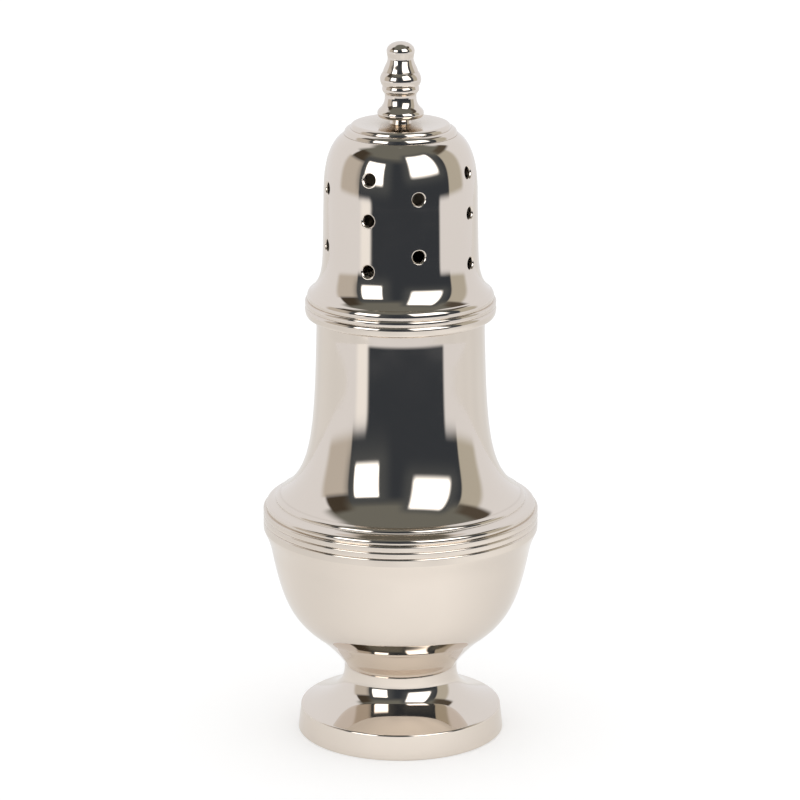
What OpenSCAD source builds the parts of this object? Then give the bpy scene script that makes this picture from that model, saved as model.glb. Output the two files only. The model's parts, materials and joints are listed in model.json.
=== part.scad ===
// Baluster sugar caster: a spun body on a spool foot and a pierced cap that lifts off.
// Millimetres, +Z up, origin at the centre of the foot's resting face.

/* [Foot] */
// Radius of the foot at the resting face
foot_r = 26.5; // [23:0.05:32]
// Height of the upright rim of the foot
foot_rim_h = 6.5; // [4:0.1:8]
// How far the rim leans in from its foot to its top edge
foot_rim_lean = 0.7; // [0:0.05:2]
// Height of the foot up to the seam under the bowl
foot_h = 17.8; // [15:0.1:24]
// Straight stretch of the stem under the seam
foot_straight = 1.3; // [1:0.1:2]
// Rounding of the rim's top edge
foot_edge = 0.3; // [0.1:0.05:0.6]
// Bevel of the resting edge
foot_bevel = 0.35; // [0.1:0.05:0.6]
// Radius of the stem at the seam
stem_r = 14.5; // [12:0.1:17]
// Width of the stiffening wire inside the rim
foot_wire_w = 2; // [1.5:0.1:3]
// Height of the stiffening wire inside the rim
foot_wire_h = 2; // [1.5:0.1:2.5]
// Width of the centring ring inside the stem
spigot_w = 2; // [1:0.1:3]
// Height of the centring ring inside the stem
spigot_h = 3; // [2:0.1:5]

/* [Bowl] */
// Height of the bowl from the seam to its rim
bowl_h = 38.75; // [34:0.05:46]
// How far the soft step draws in from the girdle to the belly
step_in = 2.05; // [1.6:0.05:4]
// Height of the plain band under the rim
band_h = 2; // [1.5:0.1:3]
// Height of the rounded edge at the band's top
band_edge_h = 0.4; // [0.2:0.05:0.8]
// Height of the soft step from the band to the belly
step_h = 6; // [4:0.1:8]
// Radius at which the belly turns into the trumpet
trumpet_r = 22.3; // [19:0.1:25]
// Height of the trumpet above the seam
trumpet_h = 8.6; // [6:0.1:11]
// Thickness of the bowl's floor
floor_t = 1.4; // [1:0.1:3]

/* [Girdle] */
// Radius of the girdle over its reeds
girdle_r = 35.1; // [34.5:0.1:38]
// Height of the girdle ring between bowl and shoulder
girdle_h = 3.35; // [2.5:0.05:5]
// Depth of the grooves between its reeds
reed_depth = 0.22; // [0.1:0.02:0.3]
// Flatness of its reeds: 2 is a parabola, more is flatter with tighter edges
reed_flat = 6; // [2:0.5:8]
// Length of the tongue that laps inside the bowl
tongue_h = 2.5; // [2:0.1:4]
// Length of the tongue that laps inside the shoulder
tongue_rise = 0.25; // [0.1:0.05:0.4]

/* [Shoulder and neck] */
// Radius of the neck at the mouth
neck_r = 21.3; // [20.5:0.1:22.5]
// Height from the girdle ring to the mouth
neck_h = 53.4; // [48:0.05:62]
// Straight stretch of the neck below the mouth
neck_straight = 6; // [4:0.1:12]
// How far the foot of the rounded lip stands back from the girdle's grooves
lip_back = 0.5; // [0.3:0.05:0.9]
// Width of the rounded lip over the girdle
lip_w = 3.2; // [2.8:0.05:4]
// Height of the rounded lip over the girdle
lip_h = 2.25; // [1.8:0.05:3]
// Width of the fine reed above the lip
fine_reed_w = 1.15; // [1:0.05:2]
// Height of the fine reed above the lip
fine_reed_h = 1.3; // [1:0.05:2]

/* [Cap] */
// Radius of the cap's wall under the dome
cap_r = 19.35; // [18.5:0.05:20]
// Height of the cap from its collar to the land under the crown
cap_h = 42.4; // [38:0.1:48]
// Height of the domed stretch at the top of the cap
dome_h = 15.7; // [12:0.1:18]
// Height of the flared stretch above the collar
flare_h = 14.3; // [10:0.1:16]
// How far the wall leans out on its way down
wall_lean = 0.23; // [0.1:0.01:0.6]
// Height of the rounded lip at the foot of the flare
flare_lip_h = 2.35; // [1.5:0.05:3]
// How far that lip reaches out
flare_lip_w = 0.9; // [0.4:0.05:1.2]
// How far the foot of that lip stands back from the collar's grooves
flare_lip_back = 0.3; // [0.1:0.05:0.5]
// Diameter of the sprinkle holes
hole_d = 3; // [2:0.1:3.6]
// Number of hole columns round the cap
hole_columns = 8; // [4:2:12]
// Turn of the first column from the front, in degrees
hole_turn = -26.5; // [-45:0.5:45]

/* [Collar] */
// How far the collar stands proud of the neck
collar_proud = 2.85; // [2.2:0.05:4]
// How far the collar hangs below the mouth
collar_drop = 3; // [2.5:0.1:5]
// Height of the collar's shoulder above the mouth
collar_shoulder = 1.3; // [1:0.1:2]
// Height of the upper reed
upper_reed_h = 1.6; // [1:0.05:2]
// Depth of the grooves above and below it
collar_reed_depth = 0.3; // [0.1:0.05:0.4]
// Swell of the lower reed
lower_reed_swell = 0.5; // [0.3:0.05:0.6]
// How far the lower reed turns in at the collar's edge
collar_edge_w = 0.45; // [0.3:0.05:0.8]
// Flatness of the collar's two reeds
collar_flat = 3.5; // [2:0.5:8]
// Length of the sleeve that plugs into the mouth
sleeve_h = 15; // [10:0.5:24]

/* [Crown plate] */
// Radius of the crown plate
crown_r = 14.15; // [12.5:0.05:15]
// Width of the lower bead
crown_bead_w = 1.55; // [1:0.05:2.5]
// Height of the lower bead
crown_bead_h = 1.6; // [1.2:0.1:2.5]
// Width of the upper bead
crown_step_w = 1.2; // [0.8:0.1:2]
// Height of the upper bead
crown_step_h = 1.1; // [0.8:0.1:2]

/* [Finial] */
// Radius of the widest bead
bead_r = 5.13; // [4.95:0.01:6]
// Height of the widest bead
bead_h = 3.45; // [2:0.05:4]
// Radius of the groove between the beads
bead_gap_r = 4.7; // [4.5:0.05:5]
// Radius at the top of the small bead
small_bead_r = 4.4; // [4:0.05:4.5]
// Height of the small bead over the waist
small_bead_h = 2.1; // [1.2:0.1:2.5]
// Swell of the small bead
small_bead_swell = 0.4; // [0.1:0.05:0.5]
// Radius of the waist
waist_r = 3.95; // [3:0.05:4.3]
// Height of the waist
waist_h = 3.85; // [3.5:0.05:6]
// Radius of the flange
flange_r = 5.81; // [5:0.01:7]
// Height of the flange
flange_h = 2; // [1:0.05:2.5]
// Swell of the flange
flange_swell = 0.44; // [0.2:0.01:0.6]
// How far the flange leans out on its way down
flange_lean = 0.12; // [0:0.01:0.3]
// Height of the flange over the crown
seat_h = 1.7; // [1.2:0.1:3]
// Radius of the neck under the flange
seat_neck_r = 2.5; // [2.3:0.1:3]
// Height of the neck under the flange
seat_neck_h = 0.7; // [0.4:0.1:1]
// Radius of the neck where it stands on the crown
seat_r = 2.8; // [2.6:0.1:4]
// Radius at the foot of the pear
pear_r = 4.35; // [4:0.05:4.9]
// Height of the pear
pear_h = 3.05; // [2.5:0.05:5]
// Radius of the throat under the button
throat_r = 3.25; // [2.5:0.05:3.4]
// Height of the throat
throat_h = 2.15; // [1.5:0.05:3]
// Radius of the button
button_r = 3.5; // [3:0.05:4.5]
// Height of the button's dome
button_h = 2.3; // [1.5:0.1:3.5]
// Radius of the stud
stud_r = 2; // [1.5:0.1:2.5]
// Length of stud past the nut
stud_end = 1; // [0.5:0.1:2]
// Width of the nut across its flats
nut_w = 7; // [6:0.5:9]
// Height of the nut
nut_h = 3; // [2:0.1:4]
// Radius of the washer
washer_r = 5; // [4:0.1:7]
// Thickness of the washer
washer_t = 0.8; // [0.5:0.1:1.5]

/* [Sheet and fits] */
// Thickness of the spun sheet
wall = 1; // [0.7:0.05:1.3]
// Thickness of the sleeve's sheet
sleeve_wall = 0.8; // [0.5:0.05:1]
// Radial clearance of the sleeve in the mouth
push_fit = 0.05; // [0.02:0.01:0.1]
// Radial clearance of the collar round the neck
collar_gap = 0.3; // [0.2:0.05:0.5]
// Radial clearance of the stud in its holes
stud_gap = 0.1; // [0.05:0.05:0.3]
// Radial clearance of the stud in the nut
thread_gap = 0.05; // [0.02:0.01:0.1]

/* [Hidden] */
$fn = 120;
curve_steps = 18;
reed_steps = 12;

// Levels from the resting face upwards
seam_z = foot_h;
rim_z = seam_z + bowl_h;
girdle_z = rim_z + girdle_h;
mouth_z = girdle_z + neck_h;
collar_low_z = mouth_z - collar_drop;
collar_top_z = mouth_z + collar_shoulder;
sleeve_low_z = collar_top_z - sleeve_h;
land_z = collar_top_z + cap_h;
under_land_z = land_z - wall;
crown_z = land_z + crown_bead_h + crown_step_h;
nut_top_z = under_land_z - washer_t;
nut_low_z = nut_top_z - nut_h;

// Radii that follow from the driving ones
groove_r = girdle_r - reed_depth;
lap_r = groove_r - wall;
lip_r = groove_r - lip_back;
lip_lap_r = lip_r - wall;
bowl_r = girdle_r - step_in;
mouth_r = neck_r - wall;
collar_groove_r = neck_r + collar_proud - collar_reed_depth;
sleeve_r = mouth_r - push_fit;
stem_bore_r = stem_r - wall;
rim_r = foot_r - foot_rim_lean;
rim_bore_r = rim_r - wall;
stud_hole_r = stud_r + stud_gap;

// Sweeps: heading and pull at the upper end, heading and pull at the lower end
foot_curve = [-90, 0.35, -19, 0.53];
step_curve = [-108, 0.24, -101, 0.53];
belly_curve = [-101, 0.48, -143, 0.33];
trumpet_curve = [-143, 0.34, -98, 0.12];
shoulder_curve = [-88.8, 0.635, -37, 0.222];
fine_reed_curve = [-23, 0.58, -92, 0.42];
lip_curve = [-37, 0.56, -95, 0.62];
dome_curve = [-31.4, 0.3, -90, 0.386];
flare_curve = [-89, 0.49, -43, 0.3];
flare_lip_curve = [-24, 0.54, -90, 0.2];
button_curve = [-90, 0.35, -85, 0.3];
pear_curve = [-82, 0.3, -86, 0.26];
upper_waist_curve = [-110, 0.3, -90, 0.4];
lower_waist_curve = [-90, 0.55, -42, 0.2];

// Heights of the holes in the taller and the shorter columns, as shares of the cap's height
tall_rows = [0.264, 0.566, 0.807];
short_rows = [0.358, 0.701];

// Drift of each column from an even spacing, as drilled by hand, in degrees
column_drift = [2, -5, -0.5, 1.5, -1, -3, -2, 0.5];

// Unit vector at an angle from the +r direction, anticlockwise
function aim(angle) = [cos(angle), sin(angle)];

// Cubic from a down to b along a curve's two headings; the pulls are shares of the chord
function sweep(a, b, curve) =
    let (chord = norm(b - a))
    let (c = a + curve[1] * chord * aim(curve[0]))
    let (d = b - curve[3] * chord * aim(curve[2]))
    [for (i = [0 : curve_steps])
        let (t = i / curve_steps, u = 1 - t)
        u * u * u * a + 3 * u * u * t * c + 3 * u * t * t * d + t * t * t * b];

// Unit vector that points outwards from a run down the outside
function outward(run) = [-run[1], run[0]] / norm(run);

// Bulge from a down to b that swells outwards: a parabola at 2, flatter with tighter edges above
function reed(a, b, swell, flat = 2) =
    [for (i = [0 : reed_steps])
        let (t = i / reed_steps)
        a + t * (b - a) + (1 - pow(abs(1 - 2 * t), flat)) * swell * outward(b - a)];

// Several paths end to end, each sharing its first point with the one before
function chain(paths) =
    [for (i = [0 : len(paths) - 1])
        for (j = [min(i, 1) : len(paths[i]) - 1])
            paths[i][j]];

function reversed(path) = [for (i = [len(path) - 1 : -1 : 0]) path[i]];

function last(path) = path[len(path) - 1];

// A path down the outside, moved inwards by the sheet's thickness
function inset(path) =
    [for (i = [0 : len(path) - 1])
        let (run = path[min(i + 1, len(path) - 1)] - path[max(i - 1, 0)])
        path[i] - wall * outward(run)];

module turned(outline) {
    rotate_extrude() polygon(outline);
}

// A ring of rectangular section
module ring(r_in, r_out, z_low, z_high) {
    turned([[r_in, z_low], [r_out, z_low], [r_out, z_high], [r_in, z_high]]);
}

// Foot: a spool stem that sweeps out to a wide dish with an upright rim
module foot() {
    stem_low = [stem_r, seam_z - foot_straight];
    edge_top = [rim_r - foot_edge, foot_rim_h + foot_edge / 2];
    edge_low = [rim_r, foot_rim_h - foot_edge];
    dish = sweep(stem_low, edge_top, foot_curve);
    under = [for (p = inset(dish)) if (p[0] < rim_bore_r - wall) p];
    outside = chain([
        [[stem_r, seam_z], stem_low],
        dish,
        reed(edge_top, edge_low, foot_edge / 4),
        [edge_low, [foot_r, foot_bevel], [foot_r - foot_bevel, 0]]]);
    inside = chain([
        [[rim_bore_r, 0], [rim_bore_r, edge_low[1] - wall], last(under)],
        reversed(under),
        [under[0], [stem_bore_r, seam_z]]]);
    color("#D9CFC4") turned(concat(outside, inside));
}

// Wire soldered inside the rim, which stiffens the resting edge
module foot_wire() {
    color("#CFC4B8") ring(rim_bore_r - foot_wire_w, rim_bore_r, 0, foot_wire_h);
}

// Ring under the bowl's floor that centres the foot on the bowl
module stem_spigot() {
    color("#CFC4B8") ring(stem_bore_r - spigot_w, stem_bore_r, seam_z - spigot_h, seam_z);
}

// Bowl: a plain band, a soft step, a round belly and a trumpet down to the seam
module bowl() {
    band_low = [girdle_r, rim_z - band_h];
    belly_top = [bowl_r, band_low[1] - step_h];
    trumpet_top = [trumpet_r, seam_z + trumpet_h];
    trumpet_low = [stem_r, seam_z];
    belly = sweep(belly_top, trumpet_top, belly_curve);
    trumpet = sweep(trumpet_top, trumpet_low, trumpet_curve);
    floor_z = seam_z + floor_t;
    under = [for (p = inset(chain([belly, trumpet]))) if (p[1] > floor_z) p];
    outside = chain([
        reed([groove_r, rim_z], [girdle_r, rim_z - band_edge_h], reed_depth / 4),
        [[girdle_r, rim_z - band_edge_h], band_low],
        sweep(band_low, belly_top, step_curve),
        belly,
        trumpet,
        [trumpet_low, [0, seam_z]]]);
    inside = chain([
        [[0, floor_z], [last(under)[0], floor_z], last(under)],
        reversed(under),
        [under[0], [lap_r, rim_z - tongue_h - wall / 2], [lap_r, rim_z]]]);
    color("#DDD3C8") turned(concat(outside, inside));
}

// Girdle: two reeds on a ring whose tongues lap inside the bowl and the shoulder
module girdle_ring() {
    half_z = (rim_z + girdle_z) / 2;
    tongue_r = lip_lap_r - wall;
    tongue_low_z = rim_z - tongue_h;
    tongue_top_z = girdle_z + tongue_rise;
    outside = chain([
        reed([groove_r, girdle_z], [groove_r, half_z], reed_depth, reed_flat),
        reed([groove_r, half_z], [groove_r, rim_z], reed_depth, reed_flat)]);
    tongues = [[lap_r, rim_z], [lap_r, tongue_low_z], [tongue_r, tongue_low_z],
        [tongue_r, tongue_top_z], [lip_lap_r, tongue_top_z], [lip_lap_r, girdle_z]];
    color("#D6CBBF") turned(concat(outside, tongues));
}

// Shoulder and neck: mouth, long hollow sweep, a fine reed and a rounded lip over the girdle
module shoulder_and_neck() {
    neck_low = [neck_r, mouth_z - neck_straight];
    lip_top = [girdle_r - lip_w, girdle_z + lip_h];
    lip_low = [lip_r, girdle_z];
    shoulder_low = lip_top + [-fine_reed_w, fine_reed_h];
    lip_under = lip_top - wall * outward(lip_low - shoulder_low);
    shoulder = sweep(neck_low, shoulder_low, shoulder_curve);
    bore_low_z = sleeve_low_z - wall;
    under = [for (p = inset(shoulder)) if (p[1] < bore_low_z - wall) p];
    outside = chain([
        [[neck_r, mouth_z], neck_low],
        shoulder,
        sweep(shoulder_low, lip_top, fine_reed_curve),
        sweep(lip_top, lip_low, lip_curve)]);
    inside = chain([
        [[lip_lap_r, girdle_z], [lip_lap_r, girdle_z + tongue_rise], lip_under, last(under)],
        reversed(under),
        [under[0], [mouth_r, bore_low_z], [mouth_r, mouth_z]]]);
    color("#DBD1C6") turned(concat(outside, inside));
}

// Columns of holes round the cap, taller and shorter ones by turns
module sprinkle_holes() {
    for (i = [0 : hole_columns - 1]) {
        turn = hole_turn + i * 360 / hole_columns + column_drift[i % len(column_drift)];
        for (row = i % 2 == 0 ? tall_rows : short_rows)
            translate([0, 0, collar_top_z + row * cap_h])
                rotate([0, 90, turn - 90])
                    translate([0, 0, cap_r - hole_d - wall])
                        cylinder(h = collar_groove_r, d = hole_d);
    }
}

// Cap: a domed wall that flares to a lip on the collar
module cap_dome() {
    dome_top = [crown_r + collar_reed_depth / 2, land_z];
    wall_top = [cap_r, land_z - dome_h];
    wall_low = [cap_r + wall_lean, collar_top_z + flare_h];
    lip_low = [collar_groove_r - flare_lip_back, collar_top_z];
    lip_top = lip_low + [-flare_lip_w, flare_lip_h];
    dome = sweep(dome_top, wall_top, dome_curve);
    flare = sweep(wall_low, lip_top, flare_curve);
    under = [for (p = inset(concat(dome, flare))) if (p[1] < under_land_z) p];
    outside = chain([
        [[stud_hole_r, land_z], dome_top],
        concat(dome, flare),
        sweep(lip_top, lip_low, flare_lip_curve)]);
    inside = chain([
        [lip_low - [flare_lip_w + wall, 0], last(under)],
        reversed(under),
        [under[0], [under[0][0], under_land_z], [stud_hole_r, under_land_z]]]);
    color("#D8CEC3") difference() {
        turned(concat(outside, inside));
        sprinkle_holes();
    }
}

// Collar: a reeded ring under the cap's lip; its shoulder rests on the mouth
module cap_collar() {
    bore_r = neck_r + collar_gap;
    groove = [collar_groove_r, collar_top_z - upper_reed_h];
    outside = chain([
        reed([collar_groove_r, collar_top_z], groove, collar_reed_depth, collar_flat),
        reed(groove, [collar_groove_r - collar_edge_w, collar_low_z], lower_reed_swell, collar_flat)]);
    inside = [[bore_r, collar_low_z], [bore_r, mouth_z], [sleeve_r, mouth_z], [sleeve_r, collar_top_z]];
    color("#D6CBBF") turned(concat(outside, inside));
}

// Sleeve soldered in the collar, which plugs into the mouth
module cap_sleeve() {
    color("#CBC0B4") ring(sleeve_r - sleeve_wall, sleeve_r, sleeve_low_z, collar_top_z);
}

// Crown plate: two stepped beads round a flat top
module crown_plate() {
    bead_low = [crown_r, land_z];
    bead_top = bead_low + [-crown_bead_w, crown_bead_h];
    step_top = bead_top + [-crown_step_w, crown_step_h];
    beads = chain([
        reed(step_top, bead_top, crown_step_h / 3),
        reed(bead_top, bead_low, crown_bead_h / 3)]);
    color("#DAD0C5") turned(concat(beads, [[stud_hole_r, land_z], [stud_hole_r, crown_z]]));
}

// Finial: button, throat, pear, two beads, waist and flange, turned in one with its stud
module finial() {
    flange_low = [flange_r - flange_swell + flange_lean, crown_z + seat_h];
    flange_top = flange_low + [-2 * flange_lean, flange_h];
    small_bead_low = [waist_r + small_bead_swell / 4, flange_top[1] + waist_h];
    waist = [waist_r, small_bead_low[1] - small_bead_h / 3];
    small_bead_top = [small_bead_r, small_bead_low[1] + small_bead_h];
    bead_gap = [bead_gap_r, small_bead_top[1]];
    pear_low = [pear_r, bead_gap[1] + bead_h];
    throat = [throat_r, pear_low[1] + pear_h];
    button_low = [button_r, throat[1] + throat_h];
    button = [for (i = [0 : curve_steps])
        let (lift = 90 - 90 * i / curve_steps)
        [button_r * cos(lift), button_low[1] + button_h * sin(lift)]];
    stud_low_z = nut_low_z - stud_end;
    outside = chain([
        button,
        sweep(button_low, throat, button_curve),
        sweep(throat, pear_low, pear_curve),
        reed(pear_low, bead_gap, bead_r - (pear_r + bead_gap_r) / 2),
        reed(small_bead_top, small_bead_low, small_bead_swell),
        sweep(small_bead_low, waist, upper_waist_curve),
        sweep(waist, flange_top, lower_waist_curve),
        reed(flange_top, flange_low, flange_swell),
        [flange_low, [seat_neck_r, crown_z + seat_neck_h], [seat_r, crown_z], [stud_r, crown_z],
            [stud_r, stud_low_z], [0, stud_low_z]]]);
    color("#DDD4CA") turned(outside);
}

// Washer under the dome
module finial_washer() {
    color("#B9A06A") ring(stud_hole_r, washer_r, nut_top_z, under_land_z);
}

// Hexagon nut on the stud
module finial_nut() {
    corner_r = nut_w / sqrt(3);
    color("#B9A06A") translate([0, 0, nut_low_z]) difference() {
        cylinder(h = nut_h, r = corner_r, $fn = 6);
        translate([0, 0, -nut_h]) cylinder(h = 3 * nut_h, r = stud_r + thread_gap);
    }
}

foot();
foot_wire();
stem_spigot();
bowl();
girdle_ring();
shoulder_and_neck();
cap_dome();
cap_collar();
cap_sleeve();
crown_plate();
finial();
finial_washer();
finial_nut();
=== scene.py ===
"""Baluster sugar caster: mirror-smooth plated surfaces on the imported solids, in a plain photo studio."""

import json
from typing import NamedTuple

import bpy
import numpy as np
from bpy.props import FloatProperty, FloatVectorProperty, IntProperty, PointerProperty
from bpy.types import Node, NodeSocket, Operator, Panel, PropertyGroup
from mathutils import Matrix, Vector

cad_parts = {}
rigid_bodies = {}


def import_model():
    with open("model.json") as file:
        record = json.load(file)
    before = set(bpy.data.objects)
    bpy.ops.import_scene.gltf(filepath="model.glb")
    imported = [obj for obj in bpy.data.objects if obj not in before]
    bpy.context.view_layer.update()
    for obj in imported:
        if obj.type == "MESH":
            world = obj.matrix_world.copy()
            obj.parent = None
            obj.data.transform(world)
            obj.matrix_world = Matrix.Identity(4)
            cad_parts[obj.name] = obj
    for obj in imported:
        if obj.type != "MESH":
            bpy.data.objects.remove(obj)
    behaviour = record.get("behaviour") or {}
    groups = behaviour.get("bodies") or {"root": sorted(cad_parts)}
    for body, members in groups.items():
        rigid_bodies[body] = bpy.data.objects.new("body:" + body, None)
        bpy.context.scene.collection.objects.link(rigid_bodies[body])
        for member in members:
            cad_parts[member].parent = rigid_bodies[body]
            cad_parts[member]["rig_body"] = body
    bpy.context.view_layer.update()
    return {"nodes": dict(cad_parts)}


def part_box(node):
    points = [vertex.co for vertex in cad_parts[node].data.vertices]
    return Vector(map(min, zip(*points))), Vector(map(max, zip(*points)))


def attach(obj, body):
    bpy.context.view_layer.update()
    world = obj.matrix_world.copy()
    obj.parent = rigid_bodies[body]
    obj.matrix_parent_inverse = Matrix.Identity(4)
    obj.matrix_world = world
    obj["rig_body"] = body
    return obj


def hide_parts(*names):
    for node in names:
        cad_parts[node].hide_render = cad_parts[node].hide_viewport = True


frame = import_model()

bl_info = {
    "name": "Sugar Caster",
    "version": (1, 0, 0),
    "blender": (4, 5, 0),
    "location": "3D View > Sidebar > Caster",
    "description": "Builds the plated surfaces of a baluster sugar caster and a studio to show it in",
    "category": "Add Mesh",
}

MM = 0.001

# Levels and radii that the solids give, in metres
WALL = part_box("cap_dome")[1].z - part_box("finial_washer")[1].z
FOOT_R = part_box("foot")[1].x
RIM_BORE_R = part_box("foot_wire")[1].x
RIM_R = RIM_BORE_R + WALL
STEM_BORE_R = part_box("stem_spigot")[1].x
STEM_R = STEM_BORE_R + WALL
SEAM_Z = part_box("bowl")[0].z
RIM_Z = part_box("bowl")[1].z
GIRDLE_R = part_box("girdle_ring")[1].x
GIRDLE_LOW_Z, GIRDLE_TOP_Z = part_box("girdle_ring")[0].z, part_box("girdle_ring")[1].z
GIRDLE_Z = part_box("shoulder_and_neck")[0].z
MOUTH_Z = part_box("shoulder_and_neck")[1].z
SLEEVE_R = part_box("cap_sleeve")[1].x
SLEEVE_LOW_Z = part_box("cap_sleeve")[0].z
COLLAR_LOW_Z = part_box("cap_collar")[0].z
COLLAR_TOP_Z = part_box("cap_collar")[1].z
CROWN_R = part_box("crown_plate")[1].x
LAND_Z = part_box("crown_plate")[0].z
CROWN_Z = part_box("crown_plate")[1].z
UNDER_LAND_Z = LAND_Z - WALL
FLANGE_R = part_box("finial")[1].x
STUD_LOW_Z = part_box("finial")[0].z

# Fineness of the meshes
TURNS = 256
NUT_TURNS = 96
FINE_STEP = 0.02 * MM
ROW_STEP = 0.8 * MM
TURN_STEP = np.radians(5)
CURVE_STEPS = 96
SHOULDER_STEPS = 160
BUTTON_STEPS = 64
REED_STEPS = 48

# Fineness of the dome, and of the rings that lead in to its holes, over their lips and out inside
DOME_TURNS = 240
DOME_ROW_STEP = 0.62 * MM
HOLE_WINDOW = 12
OUTER_RINGS = 7
LIP_RINGS = 8
INNER_RINGS = 3

# Points that count as one, how far a piece may lie off its solid, and how far a groove's tarnish and
# painted shade reach
SAME_POINT = 1e-9
OFF_SOLID = 0.3 * MM
GROOVE_REACH = 0.22 * MM

# Heights of the holes in tall and short columns, as shares of the dome's, and each column's error by eye
TALL_COLUMN = (0.264, 0.566, 0.807)
SHORT_COLUMN = (0.358, 0.701)
DRIFT = np.radians([2, -5, -0.5, 1.5, -1, -3, -2, 0.5])

# Where most values of a noise texture lie, and radians of a wave texture in one unit of its scale
NOISE = (0.3, 0.7)
WAVE_RADIANS = 20
WHITE = (1, 1, 1, 1)
SENSOR_MM = 36
FLOOR_EDGE_POINTS = 65


def linear(hex_code):
    """An sRGB hex colour as linear red, green, blue and alpha."""
    value = np.array([int(hex_code[i:i + 2], 16) for i in (1, 3, 5)]) / 255
    bright = ((value + 0.055) / 1.055) ** 2.4
    return (*np.where(value <= 0.04045, value / 12.92, bright).tolist(), 1.0)


def length(label, description, millimetres):
    """A length property, its default written in millimetres."""
    return FloatProperty(name=label, description=description, default=millimetres * MM,
                         subtype="DISTANCE", unit="LENGTH", precision=5)


def bend(label, description, values):
    """A curve property: heading in degrees and pull at the upper end, then at the lower end."""
    return FloatVectorProperty(name=label, description=description, size=4, default=values)


def flatness(description, value):
    """A reed's flatness: 2 is a parabola, more is flatter with tighter edges."""
    return FloatProperty(name="Flatness", description=description, default=value, min=2, max=8)


def tint(label, description, hex_code):
    """A colour property, its default written as an sRGB hex value."""
    return FloatVectorProperty(name=label, description=description, size=4, min=0, max=1,
                               subtype="COLOR", default=linear(hex_code))


def share(label, description, value):
    """A factor from 0 to 1."""
    return FloatProperty(name=label, description=description, default=value, min=0, max=1,
                         subtype="FACTOR")


class CasterFoot(PropertyGroup):
    """Sizes of the foot and of what is soldered inside it."""
    rim_h: length("Rim height", "Height of the upright rim", 6.5)
    edge: length("Edge", "Rounding of the rim's top edge", 0.3)
    bevel: length("Bevel", "Bevel of the resting edge", 0.35)
    straight: length("Straight", "Straight stretch of the stem under the seam", 1.3)
    dish: bend("Dish", "Sweep from the stem out to the rim", (-90, 0.35, -19, 0.53))
    wire_w: length("Wire width", "Width of the wire inside the rim", 2)
    spigot_w: length("Spigot width", "Width of the centring ring inside the stem", 2)


class CasterBowl(PropertyGroup):
    """Sizes of the bowl."""
    band_h: length("Band height", "Height of the plain band under the rim", 2)
    band_edge: length("Band edge", "Height of the rounded edge at the band's top", 0.4)
    step_h: length("Step height", "Height of the soft step under the band", 6)
    step_in: length("Step depth", "How far the soft step draws in", 2.05)
    trumpet_r: length("Trumpet radius", "Radius at which the belly turns into the trumpet", 22.3)
    trumpet_h: length("Trumpet height", "Height of the trumpet above the seam", 8.6)
    floor_t: length("Floor", "Thickness of the floor", 1.4)
    step: bend("Step", "Sweep of the soft step", (-108, 0.24, -101, 0.53))
    belly: bend("Belly", "Sweep of the belly", (-101, 0.48, -143, 0.33))
    trumpet: bend("Trumpet", "Sweep of the trumpet", (-143, 0.34, -98, 0.12))


class CasterGirdle(PropertyGroup):
    """Sizes of the reeded girdle."""
    reed_depth: length("Reed depth", "Depth of the grooves between the reeds", 0.22)
    flat: flatness("Flatness of the reeds", 6)


class CasterNeck(PropertyGroup):
    """Sizes of the shoulder and neck."""
    straight: length("Straight", "Straight stretch below the mouth", 6)
    lip_back: length("Lip set-back", "How far the lip's foot stands back from the girdle's grooves", 0.5)
    lip_w: length("Lip width", "Width of the rounded lip over the girdle", 3.2)
    lip_h: length("Lip height", "Height of the rounded lip over the girdle", 2.25)
    fine_w: length("Fine reed width", "Width of the fine reed above the lip", 1.15)
    fine_h: length("Fine reed height", "Height of the fine reed above the lip", 1.3)
    push_fit: length("Push fit", "Radial clearance of the sleeve in the mouth", 0.05)
    shoulder: bend("Shoulder", "Sweep from the neck out to the fine reed", (-88.8, 0.635, -37, 0.222))
    fine: bend("Fine reed", "Sweep of the fine reed", (-23, 0.58, -92, 0.42))
    lip: bend("Lip", "Sweep of the rounded lip", (-37, 0.56, -95, 0.62))


class CasterCap(PropertyGroup):
    """Sizes of the pierced dome."""
    land_w: length("Land width", "Width of the flat land that shows round the crown plate", 0.15)
    radius: length("Radius", "Radius of the wall under the dome", 19.35)
    dome_h: length("Dome height", "Height of the domed stretch", 15.7)
    flare_h: length("Flare height", "Height of the flared stretch above the collar", 14.3)
    lean: length("Lean", "How far the wall leans out on its way down", 0.23)
    lip_h: length("Lip height", "Height of the rounded lip of the flare", 2.35)
    lip_w: length("Lip width", "How far that lip reaches out", 0.9)
    lip_back: length("Lip set-back", "How far its foot stands back from the collar's grooves", 0.3)
    dome: bend("Dome", "Sweep of the dome", (-31.4, 0.3, -90, 0.386))
    flare: bend("Flare", "Sweep of the flare", (-89, 0.49, -43, 0.3))
    lip: bend("Lip", "Sweep of the flare's lip", (-24, 0.54, -90, 0.2))
    hole_d: length("Hole diameter", "Diameter of the sprinkle holes", 3)
    hole_edge: length("Hole edge", "Width of the soft countersink round each hole", 0.36)
    columns: IntProperty(name="Columns", description="Columns of holes round the cap", default=8)
    turn: FloatProperty(name="Turn", description="Turn of the first column from the front",
                        default=np.radians(-26.5), subtype="ANGLE")


class CasterCollar(PropertyGroup):
    """Sizes of the reeded collar and its sleeve."""
    proud: length("Proud", "How far the collar stands proud of the neck", 2.85)
    reed_depth: length("Reed depth", "Depth of the grooves above and below the upper reed", 0.3)
    flat: flatness("Flatness of the two reeds", 3.5)
    upper_h: length("Upper reed", "Height of the upper reed", 1.6)
    lower_swell: length("Lower reed", "Swell of the lower reed", 0.5)
    edge_w: length("Edge", "How far the lower reed turns in at the collar's edge", 0.45)
    gap: length("Gap", "Radial clearance of the collar round the neck", 0.3)
    sleeve_wall: length("Sleeve sheet", "Thickness of the sleeve's sheet", 0.8)


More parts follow.
